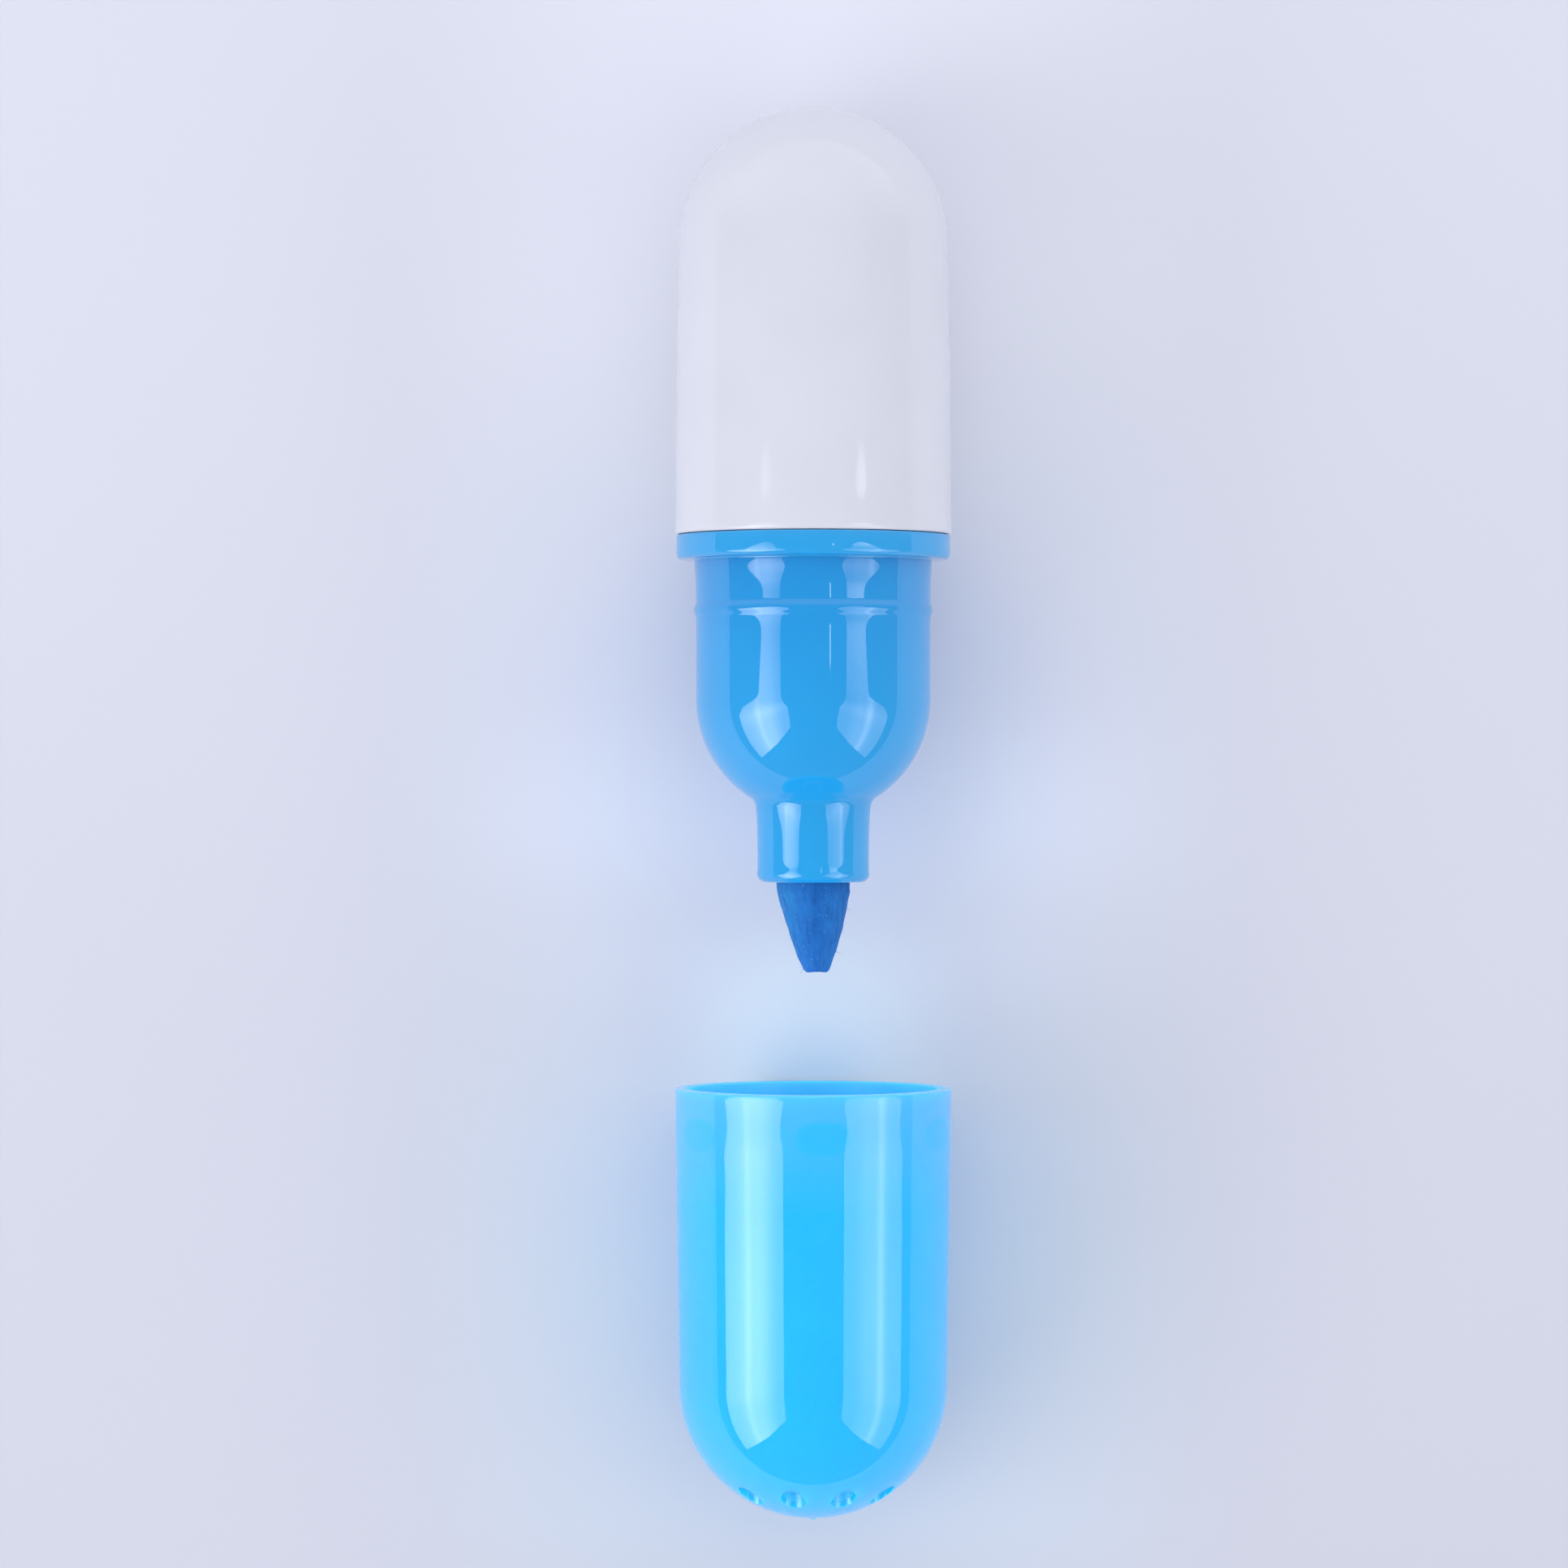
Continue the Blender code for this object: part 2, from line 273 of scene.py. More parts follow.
def cap_material():
    t = Tree("cyan_translucent_plastic")
    v = t.coords()
    cloud = t.noise(v, 90.0, 3.0)
    grain = t.noise(v, 1500.0, 2.0)
    body = t.ramp(cloud, [(0.30, (0.018, 0.520, 0.992)), (0.70, (0.022, 0.540, 0.996))])
    thin = t.ramp(cloud, [(0.30, (0.095, 0.520, 0.975)), (0.70, (0.102, 0.535, 0.982))])
    # Painted light: paler towards the open end, standing in for light that comes through the thin wall there, but not
    # over the thicker pads, which stay darker.
    sep = t.node("ShaderNodeSeparateXYZ")
    t.link(v, sep.inputs[0])
    height = t.math("SUBTRACT", sep.outputs["Z"], AXIS_Z)
    turn = t.math("ARCTAN2", sep.outputs["X"], height)
    turn = t.math("SUBTRACT", turn, math.radians(BUMP_FIRST - 30))
    turn = t.math("FLOORED_MODULO", turn, math.radians(60))
    turn = t.math("SUBTRACT", turn, math.radians(30))
    u = t.math("ABSOLUTE", t.math("MULTIPLY", turn, 9.4 / (BUMP_W / 2)))
    w = t.math("SUBTRACT", sep.outputs["Y"], (CAP_MOUTH_Y - BUMP_AT) * MM)
    w = t.math("ABSOLUTE", t.math("DIVIDE", w, BUMP_H / 2 * MM))
    q = t.math("ADD", t.math("POWER", u, 2.4), t.math("POWER", w, 2.4))
    off_pad = t.range(q, 0.30, 1.0, 0.75, 1.30)
    pale = t.along_y(v, CAP_MOUTH_Y - 8.5, CAP_MOUTH_Y - 0.3)
    t.link(t.blend(t.math("MULTIPLY", off_pad, pale), body, thin), t.shader.inputs["Base Color"])
    # How far in from the outer skin. Painted glow: an emission stands in for light that has come through the wall and
    # fills the inside and the vents, with a faint glow on the outer skin too.
    y_in = t.math("MINIMUM", t.math("SUBTRACT", sep.outputs["Y"], (CAP_MOUTH_Y - CAP_LEN + DOME_R) * MM), 0.0)
    square = lambda a: t.math("MULTIPLY", a, a)
    reach = t.math("SQRT", t.math("ADD", t.math("ADD", square(sep.outputs["X"]), square(height)), square(y_in)))
    inside = t.range(reach, 1.0, 0.0, 9.30 * MM, 9.66 * MM)
    skin_light = t.ramp(cloud, [(0.30, (0.0, 0.006, 0.040)), (0.70, (0.0, 0.007, 0.045))])
    inner_light = t.ramp(cloud, [(0.30, (0.001, 0.112, 0.150)), (0.70, (0.002, 0.120, 0.158))])
    t.link(t.blend(inside, skin_light, inner_light), t.shader.inputs["Emission Color"])
    t.set(Emission_Strength=1.0)
    skin_gloss = t.range(grain, 0.022, 0.040, 0.3, 0.7)
    t.link(t.math("ADD", skin_gloss, t.math("MULTIPLY", inside, 0.35)), t.shader.inputs["Roughness"])
    t.bump(cloud, 0.04, 0.00003)
    t.set(IOR=1.60, Specular_IOR_Level=0.75, Transmission_Weight=0.15, Subsurface_Weight=1.0, Subsurface_Scale=0.0024)
    t.shader.inputs["Subsurface Radius"].default_value = (0.15, 0.85, 1.0)
    return t.mat


def nib_material():
    t = Tree("inked_felt")
    along = t.coords((1.0, 0.10, 1.0))
    free = t.coords()
    streak = t.noise(along, 3800.0, 4.0, 0.65)
    patch = t.noise(free, 900.0, 3.0)
    speck = t.noise(free, 6500.0, 1.0)
    dark = t.ramp(streak, [(0.28, (0.005, 0.118, 0.410)), (0.55, (0.009, 0.158, 0.500)), (0.80, (0.026, 0.235, 0.630))])
    mix = t.node("ShaderNodeMix", data_type="RGBA", blend_type="MULTIPLY")
    mix.inputs["Factor"].default_value = 0.6
    t.link(dark, mix.inputs["A"])
    t.link(t.ramp(patch, [(0.3, (0.72, 0.80, 0.88)), (0.7, (1.0, 1.0, 1.0))]), mix.inputs["B"])
    light = t.node("ShaderNodeMix", data_type="RGBA", blend_type="MIX")
    t.link(t.range(speck, 0.0, 0.55, 0.69, 0.77), light.inputs["Factor"])
    t.link(mix.outputs["Result"], light.inputs["A"])
    light.inputs["B"].default_value = (0.20, 0.50, 0.88, 1.0)
    # Painted shade: a darker band down the middle and a lighter left side, standing in for light falling across the
    # chisel nib's faces.
    sep = t.node("ShaderNodeSeparateXYZ")
    t.link(free, sep.inputs[0])
    side = t.range(sep.outputs["X"], 0.0, 1.0, -2.6 * MM, 2.6 * MM)
    painted_side_shade = t.ramp(side, [(0.10, (1.9, 1.36, 1.10)), (0.36, (1.1, 1.02, 1.0)), (0.52, (0.42, 0.80, 0.87)), (0.80, (0.95, 0.98, 0.96))])
    side_shade_mix = t.node("ShaderNodeMix", data_type="RGBA", blend_type="MULTIPLY")
    side_shade_mix.inputs["Factor"].default_value = 1.0
    t.link(light.outputs["Result"], side_shade_mix.inputs["A"])
    t.link(painted_side_shade, side_shade_mix.inputs["B"])
    # Paler over the last few millimetres to the tip.
    paler_tip = t.node("ShaderNodeMix", data_type="RGBA", blend_type="ADD")
    t.link(t.along_y(free, FLANGE_Y - NIB_TIP + 2.6, FLANGE_Y - NIB_TIP - 0.4), paler_tip.inputs["Factor"])
    t.link(side_shade_mix.outputs["Result"], paler_tip.inputs["A"])
    paler_tip.inputs["B"].default_value = (0.012, 0.045, 0.09, 1.0)
    t.link(paler_tip.outputs["Result"], t.shader.inputs["Base Color"])
    t.bump(streak, 0.7, 0.00012)
    t.set(Roughness=0.85, IOR=1.4, Sheen_Weight=0.15, Sheen_Roughness=0.4)
    t.shader.inputs["Sheen Tint"].default_value = (0.45, 0.70, 1.0, 1.0)
    return t.mat


def reservoir_material():
    t = Tree("inked_fibre_bundle")
    along = t.coords((1.0, 0.05, 1.0))
    streak = t.noise(along, 2600.0, 4.0, 0.6)
    t.link(
        t.ramp(streak, [(0.30, (0.010, 0.120, 0.430)), (0.75, (0.060, 0.280, 0.720))]),
        t.shader.inputs["Base Color"],
    )
    t.bump(streak, 0.6, 0.0001)
    t.set(Roughness=0.92)
    return t.mat


def film_material():
    t = Tree("clear_film")
    v = t.coords((1.0, 0.4, 1.0))
    crease = t.noise(v, 500.0, 3.0)
    t.link(t.range(crease, 0.08, 0.20, 0.3, 0.7), t.shader.inputs["Roughness"])
    t.link(
        t.ramp(crease, [(0.3, (0.86, 0.91, 0.96)), (0.7, (0.93, 0.96, 0.99))]),
        t.shader.inputs["Base Color"],
    )
    t.bump(crease, 0.3, 0.00005)
    t.set(IOR=1.49, Transmission_Weight=0.9)
    return t.mat


def dress(obj, mat):
    obj.data.materials.clear()
    obj.data.materials.append(mat)
    return obj


# ------------------------------------------------------------------ barrel
WALL = 1.2
dome_y = FLANGE_BACK + BARREL_LEN - DOME_R
lip = 0.22


def barrel_r(s):
    """Outer radius s mm back from the mouth: a faint flare at the mouth, then a slow draft that grows to the dome."""
    if s < 3.0:
        return MOUTH_R - 0.08 + 0.08 * (1 - s / 3.0) ** 2
    return MOUTH_R - 0.08 - (MOUTH_R - 0.08 - DOME_R) * ((s - 3.0) / (dome_y - FLANGE_BACK - 3.0)) ** 2


barrel_profile = (
    arc(dome_y, 0, DOME_R, 0, 90, 44)
    + [
        (dome_y + (FLANGE_BACK + lip - dome_y) * i / 60, barrel_r((dome_y - FLANGE_BACK) * (1 - i / 60) + lip * i / 60))
        for i in range(1, 60)
    ]
    + arc(FLANGE_BACK + lip, barrel_r(lip) - lip, lip, 90, 180, 6)
    + arc(FLANGE_BACK + 0.12, MOUTH_R - WALL + 0.12, 0.12, 180, 270, 3)
    + arc(dome_y, 0, DOME_R - WALL, 90, 0, 20)
)
barrel = lathe("barrel_shell", barrel_profile, False, 192, FLANGE_Y)
dress(barrel, barrel_material())
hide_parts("barrel")
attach(barrel, "pen")

# ------------------------------------------------------------------ front section
BODY_R, SHOULDER_AT, FILLET = 8.55, 10.14, 0.9
NOZZLE_ROOT_R, NOZZLE_END_R, NOZZLE_ROUND = 4.20, 4.03, 0.6
BORE_R, NIB_BORE_R = 7.30, 2.80
fillet_r = NOZZLE_ROOT_R + FILLET
reach = math.sqrt((BODY_R + FILLET) ** 2 - fillet_r**2)
tangent = math.degrees(math.atan2(fillet_r, -reach))
fillet_y = -SHOULDER_AT - reach
seat = FLANGE_BACK - 0.04
meets = math.degrees(math.atan2(NIB_BORE_R, -math.sqrt(BORE_R**2 - NIB_BORE_R**2)))
ridge_at, ridge_half = 3.67, 0.55


def neck_r(y):
    """Outer radius of the neck and its snap ridge, from the flange (y = 0) to below the ridge."""
    drop = -y
    base = 8.57 + 0.11 * math.exp(-((drop / 1.1) ** 2))
    if drop > ridge_at:
        base = 8.57 - 0.02 * smooth((drop - ridge_at) / ridge_half)
    x = abs(drop - ridge_at) / ridge_half
    # The front of the ridge runs out gently into the body.
    tail = 0.022 * smooth((drop - 3.3) / 0.6) * math.exp(-max(0.0, drop - 4.15) / 0.35)
    return base + tail + (0.115 * (1 - x * x) ** 1.5 if x < 1 else 0.0)


def nozzle_r(drop):
    """Outer radius of the nozzle: a long run-out at its root and a slight lip at its end."""
    start = -fillet_y
    run_out = 0.10 * math.exp(-(drop - start) / 0.9)
    lip_at = NOZZLE_END - NOZZLE_ROUND
    return NOZZLE_ROOT_R - 0.10 - 0.008 * (drop - start) + run_out + 0.035 * math.exp(-(((drop - lip_at) / 0.45) ** 2))


neck = [(-d / 20, neck_r(-d / 20)) for d in range(4, 120)]
section_profile = (
    [(seat + 6.0, BORE_R), (seat + 6.0, 8.25), (seat + 5.4, 8.65), (seat, 8.65)]
    + arc(seat - 0.12, 10.0 - 0.12, 0.12, 0, 90, 3)
    + arc(0.38, 10.0 - 0.38, 0.38, 90, 180, 8)
    + arc(-0.15, 8.66 + 0.18, 0.18, 0, -90, 4)[1:]
    + neck
    + line((-6.0, BODY_R), (-SHOULDER_AT, BODY_R), 12, False)
    + arc(-SHOULDER_AT, 0, BODY_R, 90, tangent, 34)
    + arc(fillet_y, fillet_r, FILLET, tangent - 180, -90, 9)[1:]
    + [
        (fillet_y - (NOZZLE_END - NOZZLE_ROUND + fillet_y) * i / 60, nozzle_r(-fillet_y + (NOZZLE_END - NOZZLE_ROUND + fillet_y) * i / 60))
        for i in range(1, 60)
    ]
    + arc(-NOZZLE_END + NOZZLE_ROUND, nozzle_r(NOZZLE_END - NOZZLE_ROUND) - NOZZLE_ROUND, NOZZLE_ROUND, 90, 180, 10)
    + arc(-NOZZLE_END + 0.15, NIB_BORE_R + 0.15, 0.15, 180, 270, 3)
    + arc(-SHOULDER_AT, 0, BORE_R, meets, 90, 16)
)
section = lathe("front_section_shell", section_profile, True, 192, FLANGE_Y)
dress(section, section_material())
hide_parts("front_section")
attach(section, "pen")

# ------------------------------------------------------------------ nib
NIB_R, TIP_R, LEAN = 2.65, 0.90, 0.25
taper_from = NOZZLE_END + 0.7
rng = random.Random(11)
phase = [rng.uniform(0, 2 * math.pi) for _ in range(8)]


def nib_shift(a, y, r):
    d = -y
    t = max(0.0, (d - NOZZLE_END) / (NIB_TIP - NOZZLE_END))
    rough = 0.0
    if d > NOZZLE_END - 0.2 and r > 0.3:
        rough = (
            0.022 * math.sin(9 * a + phase[0] + 1.3 * d)
            + 0.018 * math.sin(23 * a + phase[1] - 2.1 * d)
            + 0.012 * math.sin(41 * a + phase[2] + 5.0 * math.sin(3.1 * d + phase[3]))
            + 0.010 * math.sin(5 * a + phase[4]) * math.sin(4.7 * d + phase[5])
        )
        if d > NIB_TIP - 0.05:
            rough *= 0.4
    # The flat end is a little uneven, and the tip leans to +X.
    wave = 0.03 * math.sin(2 * a + phase[6]) if d > NIB_TIP - 0.02 and r > 0.3 else 0.0
    return y + wave, r + rough, LEAN * t, 0.0


def nib_r(t):
    return NIB_R * (1 - (1 - TIP_R / NIB_R) * (0.78 * t + 0.22 * t**3))


nib_profile = (
    [(-8.3, 0), (-8.3, NIB_R - 0.5), (-9.1, NIB_R)]
    + line((-9.1, NIB_R), (-NOZZLE_END, NIB_R), 6, False)
    + line((-NOZZLE_END, NIB_R), (-taper_from, NIB_R), 5)
    + [
        (-taper_from - (NIB_TIP - 0.12 - taper_from) * i / 44, nib_r(i / 44))
        for i in range(1, 45)
    ]
    + arc(-NIB_TIP + 0.16, TIP_R - 0.20, 0.16, 100, 180, 4)[1:]
    + [(-NIB_TIP, 0.5), (-NIB_TIP, 0.25), (-NIB_TIP, 0)]
)
nib = lathe("felt_nib", nib_profile, False, 144, FLANGE_Y, nib_shift, 60.0)
felt = nib_material()
dress(nib, felt)
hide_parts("nib")
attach(nib, "pen")

# Loose fibres that stand off the felt.
hairs = bpy.data.curves.new("nib_loose_fibres", "CURVE")
hairs.dimensions = "3D"
hairs.bevel_depth = 0.011 * MM
hairs.bevel_resolution = 1
hairs.use_fill_caps = True
rng = random.Random(5)
for _ in range(110):
    a = rng.uniform(0, 2 * math.pi)
    d = taper_from - 0.4 + (NIB_TIP - taper_from + 0.2) * rng.random() ** 0.9
    t = max(0.0, min(1.0, (d - taper_from) / (NIB_TIP - 0.12 - taper_from)))
    r0 = nib_r(t) - 0.04
    cx = LEAN * max(0.0, (d - NOZZLE_END) / (NIB_TIP - NOZZLE_END))
    out = Vector((math.sin(a), 0, math.cos(a)))
    root = Vector((cx, FLANGE_Y - d, AXIS_Z / MM)) + out * r0
    length = rng.uniform(0.10, 0.26) if rng.random() < 0.8 else rng.uniform(0.3, 0.62)
    lie = Vector((0, rng.uniform(-1.0, 1.0), 0)) + out.cross(Vector((0, 1, 0))) * rng.uniform(-0.5, 0.5)
    way = (out * rng.uniform(0.5, 1.0) + lie * 0.8).normalized()
    sp = hairs.splines.new("POLY")
    sp.points.add(4)
    for i in range(5):
        s = i / 4
        p = root + way * (length * s) + lie * (0.18 * length * s * s) - out * (0.10 * length * s * s)
        sp.points[i].co = (*(p * MM), 1.0)
        sp.points[i].radius = 1.0 - 0.5 * s
fibres = bpy.data.objects.new("nib_loose_fibres", hairs)
bpy.context.scene.collection.objects.link(fibres)
dress(fibres, felt)
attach(fibres, "pen")

# ------------------------------------------------------------------ ink reservoir and film, inside
res_front = FLANGE_Y - res_lo.y / MM
res_back = res_hi.y / MM - FLANGE_Y
reservoir = lathe(
    "fibre_reservoir",
    [(res_back, 0), (res_back, 3.4), (res_back, 6.6), (res_back - 0.2, 6.8)]
    + line((res_back - 0.2, 6.8), (-res_front + 0.2, 6.8), 20, False)
    + [(-res_front + 0.2, 6.8), (-res_front, 6.6), (-res_front, 2.9)]
    + [(-res_front + 3.2, 2.9), (-res_front + 3.2, 0)],
    False,
    96,
    FLANGE_Y,
)
dress(reservoir, reservoir_material())
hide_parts("ink_reservoir")
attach(reservoir, "pen")

film_front = FLANGE_Y - film_lo.y / MM
film_back = film_hi.y / MM - FLANGE_Y
film = lathe(
    "reservoir_film_sleeve",
    line((film_back, 6.9), (film_back, 7.08), 1)
    + line((film_back, 7.08), (-film_front, 7.08), 20, False)
    + line((-film_front, 7.08), (-film_front, 6.9), 1)
    + line((-film_front, 6.9), (film_back, 6.9), 20, False),
    True,
    96,
    FLANGE_Y,
)
dress(film, film_material())
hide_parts("reservoir_film")
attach(film, "pen")

# ------------------------------------------------------------------ cap
CAP_BORE_R, CAP_DOME_BORE_R, CAP_DEPTH = 9.05, 8.68, 30.4
SEAL_OUT, SEAL_IN, SEAL_MOUTH = 4.80, 4.30, 20.2
outer_y = -CAP_LEN + DOME_R
inner_y = -CAP_DEPTH + CAP_DOME_BORE_R


def on_bore(r):
    return math.degrees(math.atan2(r, -math.sqrt(CAP_DOME_BORE_R**2 - r**2)))


def cap_shift(a, y, r):
    """Oval pads swell from the bore near the mouth."""
    if 8.8 < r < 9.08 and -6.0 < y < -1.0:
        step = math.radians(60)
        off = (a - math.radians(BUMP_FIRST) + step / 2) % step - step / 2
        u = off * r / (BUMP_W / 2)
        v = (y + BUMP_AT) / (BUMP_H / 2)
        q = (abs(u) ** 2.4 + abs(v) ** 2.4)
        if q < 1:
            r -= BUMP_UP * (1 - q) ** 0.55
    return y, r, 0.0, 0.0


rim = 0.16


def cap_r(s):
    """Outer radius s mm from the mouth: a faint flare, then a shallow swell where the pads are."""
    base = MOUTH_R - 0.035 - (MOUTH_R - 0.035 - DOME_R) * s / -outer_y
    return base + 0.032 * math.exp(-s / 0.5) + 0.028 * math.exp(-(((s - 3.6) / 1.4) ** 2))


bore_at = lambda d: CAP_BORE_R + (CAP_DOME_BORE_R - CAP_BORE_R) * d / -inner_y
cap_profile = (
    [(-CAP_LEN - 0.16, 0), (-CAP_LEN - 0.16, 0.14), (-CAP_LEN - 0.08, 0.26), (-CAP_LEN + 0.01, 0.40)]
    + arc(outer_y, 0, DOME_R, 176.5, 90, 84)
    + [(outer_y * (1 - i / 70) - rim * i / 70, cap_r(-outer_y * (1 - i / 70) + rim * i / 70)) for i in range(1, 70)]
    + arc(-rim, cap_r(rim) - rim, rim, 90, 0, 6)
    + arc(-rim, CAP_BORE_R + rim, rim, 0, -90, 5)
    + [(-1.2, bore_at(1.2))]
    + [(-d / 10, bore_at(d / 10)) for d in range(16, 56)]
    + line((-5.6, bore_at(5.6)), (inner_y, CAP_DOME_BORE_R), 12, False)
    + arc(inner_y, 0, CAP_DOME_BORE_R, 90, on_bore(SEAL_OUT), 44)
    + line((inner_y - math.sqrt(CAP_DOME_BORE_R**2 - SEAL_OUT**2), SEAL_OUT), (-SEAL_MOUTH - 0.2, SEAL_OUT), 8, False)
    + arc(-SEAL_MOUTH - 0.2, SEAL_OUT - 0.2, 0.2, 90, 0, 4)
    + arc(-SEAL_MOUTH - 0.2, SEAL_IN + 0.2, 0.2, 0, -90, 4)
    + arc(inner_y, 0, CAP_DOME_BORE_R, on_bore(SEAL_IN), 180, 16)
)
cap_solid = lathe("cap_shell", cap_profile, False, 288, CAP_MOUTH_Y, cap_shift)

bm = bmesh.new()
for i in range(10):
    a = math.radians(21.6 + 36 * i)
    place = Matrix.Translation(
        (5.85 * MM * math.sin(a), (CAP_MOUTH_Y - 29.2) * MM, AXIS_Z + 5.85 * MM * math.cos(a))
    )
    bmesh.ops.create_cone(
        bm,
        cap_ends=True,
        segments=32,
        radius1=0.90 * MM,
        radius2=0.90 * MM,
        depth=5.4 * MM,
        matrix=place @ Matrix.Rotation(math.radians(90), 4, "X"),
    )
cut_mesh = bpy.data.meshes.new("vent_cutter")
bm.to_mesh(cut_mesh)
bm.free()
cutter = bpy.data.objects.new("vent_cutter", cut_mesh)
bpy.context.scene.collection.objects.link(cutter)
cut = cap_solid.modifiers.new("vents", "BOOLEAN")
cut.operation = "DIFFERENCE"
cut.object = cutter
bpy.context.view_layer.update()
holed = bpy.data.meshes.new_from_object(
    cap_solid.evaluated_get(bpy.context.evaluated_depsgraph_get())
)
bpy.data.objects.remove(cap_solid, do_unlink=True)
bpy.data.objects.remove(cutter, do_unlink=True)
holed.name = "cap_shell"
holed.shade_smooth()
holed.set_sharp_from_angle(angle=math.radians(40))
cap = bpy.data.objects.new("cap_shell", holed)
bpy.context.scene.collection.objects.link(cap)
dress(cap, cap_material())
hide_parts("cap")
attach(cap, "cap")

# ------------------------------------------------------------------ floor
PALE = (0.735, 0.762, 0.905)


def floor_material():
    t = Tree("pale_floor")
    tc = t.node("ShaderNodeTexCoord")
    length = t.node("ShaderNodeVectorMath", operation="LENGTH")
    t.link(tc.outputs["Object"], length.inputs[0])
    far = t.node("ShaderNodeMapRange", interpolation_type="SMOOTHSTEP")
    far.inputs["From Min"].default_value = 0.11
    far.inputs["From Max"].default_value = 0.60
    t.link(length.outputs["Value"], far.inputs["Value"])
    cloud = t.noise(tc.outputs["Object"], 14.0, 3.0)
    # Painted shade: the floor colour is darker towards -Y and lighter towards +Y.
    back = t.ramp(cloud, [(0.3, (0.624, 0.628, 0.690)), (0.7, (0.636, 0.640, 0.702))])
    front = t.ramp(cloud, [(0.3, (0.520, 0.525, 0.582)), (0.7, (0.531, 0.536, 0.594))])
    along = t.along_y(tc.outputs["Object"], 60.0, -60.0)
    floor_with_painted_falloff = t.blend(along, back, front)
    # Painted light: a paler, bluer lane under the marker, standing in for light that comes back off it and through the
    # cap.
    painted_lane_light = t.ramp(along, [
        (0.00, (0.545, 0.545, 0.545)), (0.07, (0.555, 0.555, 0.555)), (0.21, (0.585, 0.590, 0.585)),
        (0.346, (0.575, 0.585, 0.590)), (0.42, (0.560, 0.575, 0.590)), (0.50, (0.575, 0.600, 0.615)),
        (0.58, (0.530, 0.548, 0.553)), (0.635, (0.518, 0.540, 0.542)), (0.67, (0.515, 0.545, 0.546)),
        (0.72, (0.518, 0.560, 0.560)), (0.79, (0.522, 0.570, 0.565)), (0.93, (0.510, 0.545, 0.548)),
        (1.00, (0.502, 0.515, 0.516)),
    ])
    parts = t.node("ShaderNodeSeparateXYZ")
    t.link(tc.outputs["Object"], parts.inputs[0])
    near = t.node("ShaderNodeMapRange", interpolation_type="SMOOTHSTEP")
    for socket, value in (("From Min", 0.012), ("From Max", 0.034), ("To Min", 1.0), ("To Max", 0.0)):
        near.inputs[socket].default_value = value
    t.link(t.math("ABSOLUTE", parts.outputs["X"], 0.0), near.inputs["Value"])
    level = t.node("ShaderNodeMix", data_type="RGBA", blend_type="MIX")
    t.link(near.outputs["Result"], level.inputs["Factor"])
    level.inputs["A"].default_value = (0.5, 0.5, 0.5, 1.0)
    t.link(painted_lane_light, level.inputs["B"])
    # Painted light: a pool of light on the small gap in front of the cap's open end.
    gap = t.ramp(along, [(0.54, (0.0, 0.0, 0.0)), (0.635, (1.0, 1.0, 1.0)), (0.67, (1.0, 1.0, 1.0)), (0.71, (0.0, 0.0, 0.0))])
    close = t.node("ShaderNodeMapRange", interpolation_type="SMOOTHSTEP")
    for socket, value in (("From Min", 0.001), ("From Max", 0.013), ("To Min", 1.0), ("To Max", 0.0)):
        close.inputs[socket].default_value = value
    t.link(t.math("ABSOLUTE", parts.outputs["X"], 0.0), close.inputs["Value"])
    gap_light_pool = t.node("ShaderNodeMix", data_type="RGBA", blend_type="MULTIPLY")
    t.link(t.math("MULTIPLY", close.outputs["Result"], gap), gap_light_pool.inputs["Factor"])
    t.link(level.outputs["Result"], gap_light_pool.inputs["A"])
    gap_light_pool.inputs["B"].default_value = (1.24, 1.28, 1.16, 1.0)
    lit = t.node("ShaderNodeVectorMath", operation="MULTIPLY")
    t.link(floor_with_painted_falloff, lit.inputs[0])
    t.link(gap_light_pool.outputs["Result"], lit.inputs[1])
    twice = t.node("ShaderNodeVectorMath", operation="SCALE")
    twice.inputs["Scale"].default_value = 2.0
    t.link(lit.outputs["Vector"], twice.inputs[0])
    t.link(twice.outputs["Vector"], t.shader.inputs["Base Color"])
    t.set(Roughness=0.6, Specular_IOR_Level=0.2)
    glow = t.node("ShaderNodeEmission")
    glow.inputs["Color"].default_value = (*PALE, 1)
    mix = t.node("ShaderNodeMixShader")
    t.link(far.outputs["Result"], mix.inputs["Fac"])
    t.link(t.shader.outputs["BSDF"], mix.inputs[1])
    t.link(glow.outputs["Emission"], mix.inputs[2])
    t.link(mix.outputs["Shader"], t.out.inputs["Surface"])
    return t.mat


bm = bmesh.new()
bmesh.ops.create_grid(bm, x_segments=1, y_segments=1, size=2.0)
floor_mesh = bpy.data.meshes.new("floor")
bm.to_mesh(floor_mesh)
bm.free()
floor = bpy.data.objects.new("floor", floor_mesh)
floor.location = (0, 0, 0)
bpy.context.scene.collection.objects.link(floor)
floor_mesh.materials.append(floor_material())


